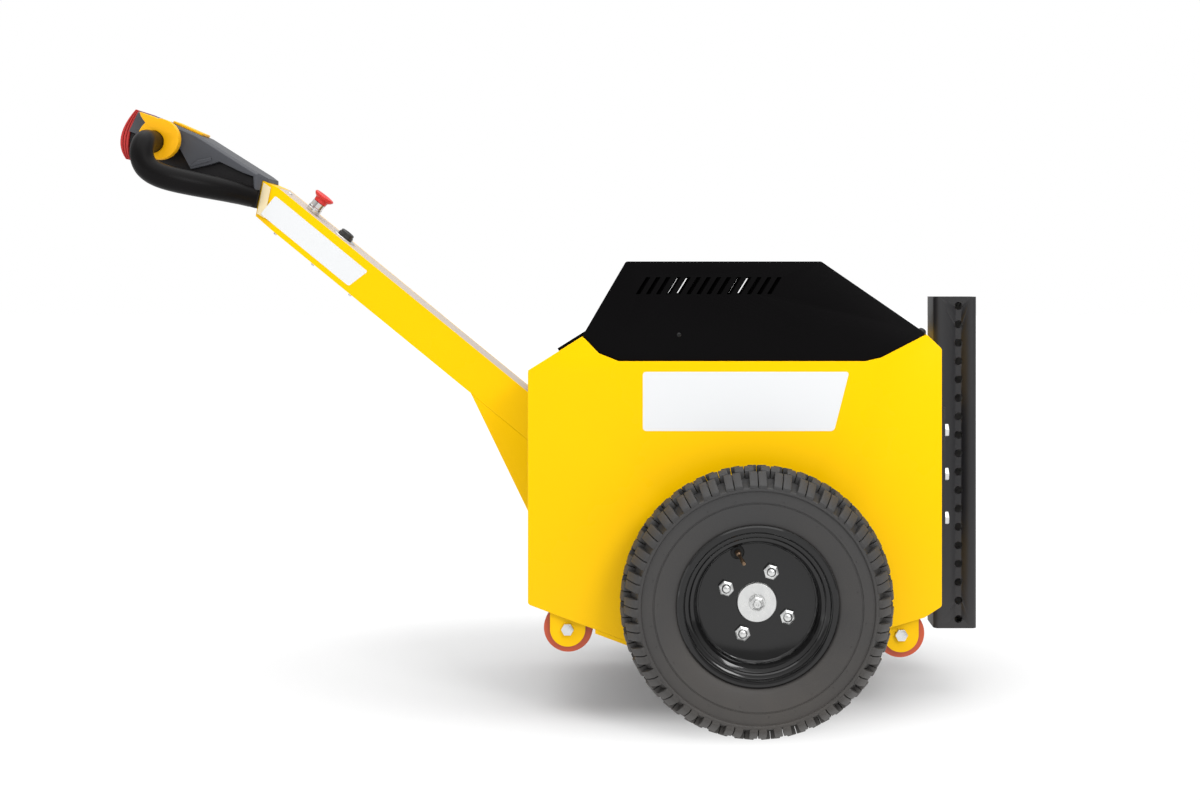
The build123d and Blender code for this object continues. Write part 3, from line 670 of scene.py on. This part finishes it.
# Tyres: air-filled and moulded in black rubber, with four staggered rows of blocks over a round
# crown. Each is pressed flat where it stands.
tyre_rubber = finish_of(
    "tyre_rubber", pale=(0.026, 0.026, 0.027), deep=(0.039, 0.037, 0.036), rough=(0.52, 0.7),
    grain=(300.0, 0.2), mottle=9.0, dust=(0.11, 0.09, 0.07, 0.35),
)
carcass = [
    (0.1120, 0.0347), (0.1186, 0.0347), (0.1212, 0.0372), (0.1290, 0.0405), (0.1400, 0.0436),
    (0.1505, 0.0456), (0.1509, 0.0445), (0.1527, 0.0446), (0.1533, 0.0458), (0.1620, 0.0466),
    (0.1690, 0.0464), (0.1700, 0.0490), (0.1712, 0.0499), (0.1738, 0.0499), (0.1752, 0.0484),
    (0.1768, 0.0420), (0.1790, 0.0345), (0.1838, 0.0240), (0.1876, 0.0150), (0.1900, 0.0060),
    (0.1894, 0.0045),
]
carcass_ring = carcass + [(radius, -height) for radius, height in reversed(carcass)]
shoulder_block = [
    (0.1735, 0.0498), (0.1782, 0.0500), (0.1800, 0.0490), (0.1846, 0.0430), (0.1890, 0.0362),
    (0.1932, 0.0282), (0.1960, 0.0216), (0.1840, 0.0206), (0.1800, 0.0300), (0.1740, 0.0440),
]
crown_block = [
    (0.1830, 0.0206), (0.1966, 0.0202), (0.1984, 0.0170), (0.2008, 0.0100), (0.2020, 0.0034),
    (0.1880, 0.0026),
]
# Each row of blocks: outline, outer or inner side, stagger, half its length, half its sipe.
block_rows = [
    (shoulder_block, 1, 0.0, 0.0126, 0.0006), (crown_block, 1, 0.5, 0.0140, 0.0005),
    (crown_block, -1, 0.0, 0.0140, 0.0005), (shoulder_block, -1, 0.5, 0.0126, 0.0006),
]
nib = [(0, 0.0007), (0.0007, 0.0007), (0.0012, -0.0005)]
block_count, nib_count = 32, 26
block_step = math.radians(360 / block_count)
axle_ahead, axle_out, axle_height = 0.3264, 0.26, 0.200
tyre_flat = 0.0002
wheels = {}
for name, side in (("right", -1), ("left", 1)):
    axle = Vector((axle_ahead, side * axle_out, axle_height))
    out = Vector((0, side, 0))
    wheels[name] = (axle, out)
    tyre_parts = [turned("tyre_carcass", carcass_ring, axle, out, 160, 28.0)]
    for outline, row, stagger, half, sipe in block_rows:
        for start in (-half, sipe):
            edge = axle + Vector((start, 0, 0))
            corners = [
                edge + Vector((0, 0, radius)) + row * height * out for radius, height in outline
            ]
            lug = sheet_of("lug", corners, (half - sipe, 0, 0))
            round_edges(lug, 0.0010, segments=2, angle=35)
            bpy.ops.object.mode_set(mode="EDIT")
            bpy.ops.mesh.select_all(action="SELECT")
            bpy.ops.transform.rotate(
                value=block_step * stagger, orient_axis="Y", center_override=axle
            )
            bpy.ops.mesh.spin(
                steps=block_count - 1, dupli=True, angle=block_step * (block_count - 1),
                center=axle, axis=(0, 1, 0),
            )
            bpy.ops.object.mode_set(mode="OBJECT")
            bpy.ops.object.shade_smooth_by_angle(angle=math.radians(28))
            tyre_parts.append(lug)
    for number in range(nib_count):
        angle = math.radians(9 + 360 / nib_count * number + 4 * math.sin(7 * number))
        reach, lift = (0.1575, 0.0461) if number % 3 else (0.1455, 0.0446)
        spoke = Vector((reach * math.cos(angle), 0, reach * math.sin(angle)))
        tyre_parts.append(turned("vent_nib", nib, axle + spoke + lift * out, out, 10))
    tyre = joined("tyre_block_tread_" + name, tyre_parts)
    bpy.ops.object.mode_set(mode="EDIT")
    bpy.ops.mesh.select_all(action="SELECT")
    bpy.ops.mesh.bisect(
        plane_co=(0, 0, tyre_flat), plane_no=(0, 0, -1), clear_outer=True, use_fill=True
    )
    bpy.ops.object.mode_set(mode="OBJECT")
    dress(tyre, tyre_rubber, "wheel_" + name)
    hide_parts("tyre_" + name)

# Rims: pressed steel in gloss black, with the disc welded in by a rippled bead. Four zinc nuts
# hold each rim on its hub, and a large washer and nut close the shaft's end.
rim_black = finish_of(
    "rim_black", pale=(0.003, 0.003, 0.0033), deep=(0.005, 0.005, 0.0055), rough=(0.06, 0.13),
    grain=(260.0, 0.03), mottle=12.0, dust=(0.05, 0.045, 0.04, 0.1), coat=0.3, gleam=0.3,
)
# Painted shade: a matt near-black for the disc drawn on the rim where the valve hole is.
hole_painted_shade = finish_of(
    "hole_painted_shade", pale=(0.003, 0.003, 0.003), deep=(0.006, 0.006, 0.006), rough=(0.7, 0.8),
    grain=(400.0, 0.1), mottle=20.0, dust=(0.02, 0.02, 0.02, 0.0),
)
valve_brass = finish_of(
    "valve_brass", pale=(0.30, 0.20, 0.12), deep=(0.16, 0.11, 0.08), rough=(0.3, 0.5),
    grain=(900.0, 0.1), mottle=60.0, dust=(0.1, 0.08, 0.06, 0.0), metal=0.9,
)
pressing = [
    (0.0300, 0.0010), (0.0870, 0.0010), (0.0888, 0.0016), (0.0900, 0.0034), (0.0908, 0.0100),
    (0.0918, 0.0180), (0.0938, 0.0222), (0.0966, 0.0238), (0.0986, 0.0252), (0.0994, 0.0282),
    (0.1012, 0.0300), (0.1042, 0.0308), (0.1060, 0.0322), (0.1070, 0.0350), (0.1092, 0.0380),
    (0.1124, 0.0390), (0.1160, 0.0388), (0.1180, 0.0374), (0.1180, 0.0350), (0.1117, 0.0346),
    (0.1117, 0.0220), (0.0960, 0.0140), (0.0960, -0.0140), (0.1117, -0.0220), (0.1117, -0.0346),
    (0.1180, -0.0350), (0.1180, -0.0380), (0.1124, -0.0390), (0.1040, -0.0380),
    (0.1037, -0.0240), (0.0920, -0.0160), (0.0920, -0.0050), (0.0300, -0.0050), (0.0300, 0.0010),
]
bead = [
    (0.0862, -0.0004), (0.0868, 0.0006), (0.0880, 0.0012), (0.0892, 0.0020), (0.0899, 0.0036),
    (0.0906, 0.0040), (0.0906, 0.0),
]
nut_hexagon = [
    (0, 0.0088), (0.0086, 0.0088), (0.0096, 0.0084), (0.0116, 0.0072), (0.0116, 0.0002),
    (0, 0.0002),
]
nut_dome = [
    (0, 0.0140), (0.0024, 0.0138), (0.0046, 0.0130), (0.0062, 0.0116), (0.0070, 0.0098),
    (0.0072, 0.0086), (0, 0.0086),
]
shaft_washer = [(0, 0.0028), (0.0284, 0.0028), (0.0290, 0.0022), (0.0290, 0.0002), (0, 0.0002)]
shaft_collar = [(0, 0.0052), (0.0118, 0.0052), (0.0122, 0.0048), (0.0122, 0.0028), (0, 0.0028)]
shaft_nut = [
    (0, 0.0140), (0.0080, 0.0140), (0.0088, 0.0134), (0.0110, 0.0122), (0.0110, 0.0050),
    (0, 0.0050),
]
shaft_stud = [
    (0, 0.0172), (0.0016, 0.0172), (0.0022, 0.0184), (0.0052, 0.0184), (0.0062, 0.0174),
    (0.0062, 0.0130), (0, 0.0130),
]
valve_shade_disc = [
    (0, 0.0004), (0.0086, 0.0004), (0.0098, 0.0012), (0.0104, 0.0004), (0.0104, -0.001)
]
valve_stem = [
    (0, 0.0300), (0.0026, 0.0300), (0.0030, 0.0292), (0.0030, 0.0212), (0.0024, 0.0206),
    (0.0024, 0.0080), (0.0040, 0.0060), (0.0046, 0), (0, 0),
]
disc_face, boss_face, stud_radius = 0.001, 0.003, 0.05
valve_offset, valve_lean = Vector((-0.0285, 0, 0.0735)), Vector((0.34, 0, -0.5))
for name, (axle, out) in wheels.items():
    body = "wheel_" + name
    rim = turned("rim_pressed_" + name, pressing, axle, out, 128, 24.0)
    dress(rim, rim_black, body)
    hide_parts("rim_" + name)
    soften("hub_" + name, zinc, body, angle=40.0)
    disc = axle + disc_face * out
    seam = turned("rim_weld_" + name, bead, disc, out, 180, 80.0)
    ripple = seam.modifiers.new("ripple", "DISPLACE")
    ripple.texture = bpy.data.textures.new("weld_ripple", "CLOUDS")
    ripple.texture.noise_scale = 0.007
    ripple.strength = 0.0011
    ripple.mid_level = 0.5
    bpy.ops.object.modifier_apply(modifier="ripple")
    dress(seam, rim_black, body)
    nuts = []
    for number in range(4):
        angle = math.radians(65 + 90 * number)
        place = disc + stud_radius * Vector((math.cos(angle), 0, math.sin(angle)))
        nuts.append(turned("wheel_nut", nut_hexagon, place, out, 6, 20.0))
        nuts.append(turned("wheel_nut", nut_dome, place, out, 32))
    boss = axle + boss_face * out
    nuts.append(turned("shaft_washer", shaft_washer, boss, out, 64))
    nuts.append(turned("shaft_washer", shaft_collar, boss, out, 48))
    nuts.append(turned("shaft_nut", shaft_nut, boss, out, 6, 20.0))
    nuts.append(turned("shaft_stud", shaft_stud, boss, out, 32))
    dress(joined("wheel_nuts_" + name, nuts), zinc, body)
    # A flat matt disc on the rim face stands for the valve hole's dark inside: painted shade.
    valve_place = disc + valve_offset
    hole = turned("valve_shade_disc_" + name, valve_shade_disc, valve_place, out, 40)
    dress(hole, hole_painted_shade, body)
    stem_foot = valve_place + 0.0004 * out
    stem = turned("valve_stem_" + name, valve_stem, stem_foot, out + valve_lean, 24)
    dress(stem, valve_brass, body)

# Rollers: red polyurethane tyres on turned cores, on bolts through welded ears, two at each end.
# They hang clear of the floor and catch the body when it tips.
roller_red = finish_of(
    "roller_red", pale=(0.60, 0.085, 0.022), deep=(0.50, 0.060, 0.016), rough=(0.3, 0.45),
    grain=(300.0, 0.1), mottle=30.0, dust=(0.3, 0.15, 0.1, 0.2),
)
core_grey = finish_of(
    "core_grey", pale=(0.5, 0.5, 0.5), deep=(0.38, 0.38, 0.38), rough=(0.35, 0.5),
    grain=(600.0, 0.1), mottle=30.0, dust=(0.3, 0.25, 0.2, 0.2), metal=0.9,
)
roller_ring = [
    (0.0270, -0.0120), (0.0355, -0.0120), (0.0370, -0.0112), (0.0375, -0.0095), (0.0375, 0.0095),
    (0.0370, 0.0112), (0.0355, 0.0120), (0.0270, 0.0120), (0.0270, -0.0120),
]
for end in ("rear", "front"):
    for name in ("right", "left"):
        body = f"roller_{end}_{name}"
        low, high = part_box(f"roller_tread_{end}_{name}")
        middle = [(start + stop) / 2 for start, stop in zip(low, high)]
        tread = turned(f"roller_tyre_{end}_{name}", roller_ring, middle, (0, 1, 0), 64)
        dress(tread, roller_red, body)
        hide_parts(f"roller_tread_{end}_{name}")
        soften(f"roller_core_{end}_{name}", core_grey, body, angle=40.0)
soften("roller_axles", zinc, "chassis", width=0.0008, angle=40.0)

# Studio: a white floor that fades out beyond an oval round the tug, a white surround, soft light
# from above and from the right, and the camera at table height beside the right wheel.
bpy.ops.object.select_all(action="DESELECT")
bpy.ops.mesh.primitive_plane_add(size=60, location=(0.11, 0.16, 0))
floor = bpy.context.object
floor.name = "floor"
floor_white = bpy.data.materials.new("floor_white")
floor_white.use_nodes = True
floor_tree = floor_white.node_tree
floor_shader = floor_tree.nodes["Principled BSDF"]
floor_shader.inputs["Base Color"].default_value = (0.72, 0.72, 0.72, 1)
floor_shader.inputs["Roughness"].default_value = 0.9
floor_shader.inputs["Specular IOR Level"].default_value = 0.0
far_white = floor_tree.nodes.new("ShaderNodeEmission")
far_white.inputs["Strength"].default_value = 1.1
floor_place = floor_tree.nodes.new("ShaderNodeTexCoord").outputs["Object"]
floor_oval = worked(floor_tree, "ShaderNodeVectorMath", "MULTIPLY", floor_place, (1.18, 2.1, 1))
floor_reach = worked(floor_tree, "ShaderNodeVectorMath", "LENGTH", floor_oval.outputs["Vector"])
floor_fade = ranged(floor_tree, floor_reach.outputs["Value"], 0.5, 1.15)
floor_fade.interpolation_type = "SMOOTHSTEP"
floor_mix = floor_tree.nodes.new("ShaderNodeMixShader")
floor_tree.links.new(floor_fade.outputs["Result"], floor_mix.inputs["Fac"])
floor_tree.links.new(floor_shader.outputs["BSDF"], floor_mix.inputs[1])
floor_tree.links.new(far_white.outputs["Emission"], floor_mix.inputs[2])
floor_out = floor_tree.nodes["Material Output"]
floor_tree.links.new(floor_mix.outputs["Shader"], floor_out.inputs["Surface"])
floor.data.materials.append(floor_white)

world = bpy.data.worlds.new("studio")
bpy.context.scene.world = world
world.use_nodes = True
sky_tree = world.node_tree
surround = sky_tree.nodes["Background"]
surround.inputs["Color"].default_value = (1, 1, 1, 1)
sky_place = sky_tree.nodes.new("ShaderNodeTexCoord")
sky_split = sky_tree.nodes.new("ShaderNodeSeparateXYZ")
sky_tree.links.new(sky_place.outputs["Generated"], sky_split.inputs["Vector"])
sky = ranged(sky_tree, sky_split.outputs["Z"], 0.05, 0.75, 0.42, 1.05)
seen = sky_tree.nodes.new("ShaderNodeLightPath")
sky_mix = sky_tree.nodes.new("ShaderNodeMix")
sky_mix.inputs[3].default_value = 1.0
sky_tree.links.new(seen.outputs["Is Camera Ray"], sky_mix.inputs[0])
sky_tree.links.new(sky.outputs["Result"], sky_mix.inputs[2])
sky_tree.links.new(sky_mix.outputs[0], surround.inputs["Strength"])
light_aim = Vector((0.2, 0, 0.35))
for name, place, size, energy in (
    ("key_light", (1.6, -2.6, 1.9), 1.0, 33),
    ("top_light", (0.1, -0.4, 3.4), 4.0, 70),
    ("left_light", (-2.4, -1.3, 0.5), 1.4, 5),
):
    lamp = bpy.data.lights.new(name, "AREA")
    lamp.size = size
    lamp.energy = energy
    light = bpy.data.objects.new(name, lamp)
    light.location = place
    light.rotation_euler = (light_aim - Vector(place)).to_track_quat("-Z", "Y").to_euler()
    bpy.context.scene.collection.objects.link(light)

camera_data = bpy.data.cameras.new("camera")
camera_data.sensor_width = 36.0
camera_data.lens = 44.67
camera_data.shift_x = -0.0667
camera_data.shift_y = -0.0958
camera = bpy.data.objects.new("camera", camera_data)
camera.location = (0.2130, -2.46, 0.668)
camera.rotation_euler = (math.radians(90), 0, 0)
bpy.context.scene.collection.objects.link(camera)
bpy.context.scene.camera = camera
bpy.context.scene.view_settings.view_transform = "Standard"
